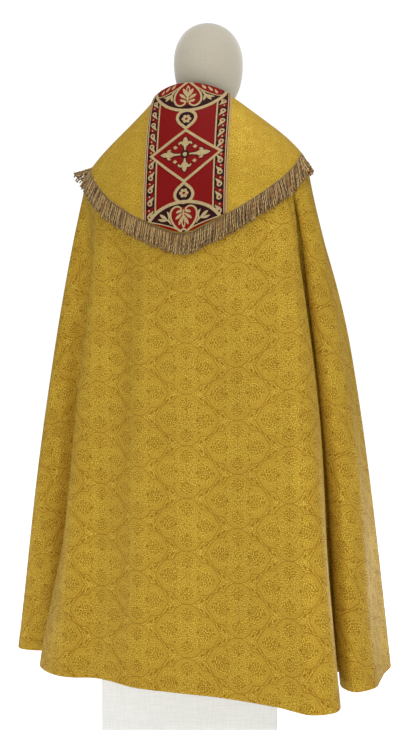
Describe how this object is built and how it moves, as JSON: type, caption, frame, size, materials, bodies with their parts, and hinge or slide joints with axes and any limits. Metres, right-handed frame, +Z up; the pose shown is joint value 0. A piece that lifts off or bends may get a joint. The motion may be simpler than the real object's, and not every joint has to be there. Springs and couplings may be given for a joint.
{
  "type": "cope vestment on a limbless display form",
  "caption": "Half-disc gold damask cope with a fringed hood and red orphrey, hung in folds on a headed display form over a linen-covered block.",
  "frame": {"origin": "middle of the whole part's footprint, on the floor under the block", "axes": "+Z up, +Y the side the wearer faces, +X the wearer's right"},
  "size_m": [0.976, 0.62, 1.686],
  "materials": {
    "gold_damask": "jacquard damask with a slight sheen",
    "red_orphrey": "matte woven ground with gold embroidery",
    "gold_fringe": "twisted antique gold thread",
    "brass_clasp": "polished",
    "form_linen": "plain weave, matte",
    "painted_pole": "satin",
    "block_linen": "plain weave, matte"
  },
  "bodies": {
    "root": {"mantle": "gold_damask", "hood": "gold_damask", "orphrey": "red_orphrey", "fringe": "gold_fringe", "clasp_left": "brass_clasp", "clasp_right": "brass_clasp", "clasp_bar": "brass_clasp", "form": "form_linen", "pole": "painted_pole", "block": "block_linen"}
  },
  "joints": []
}
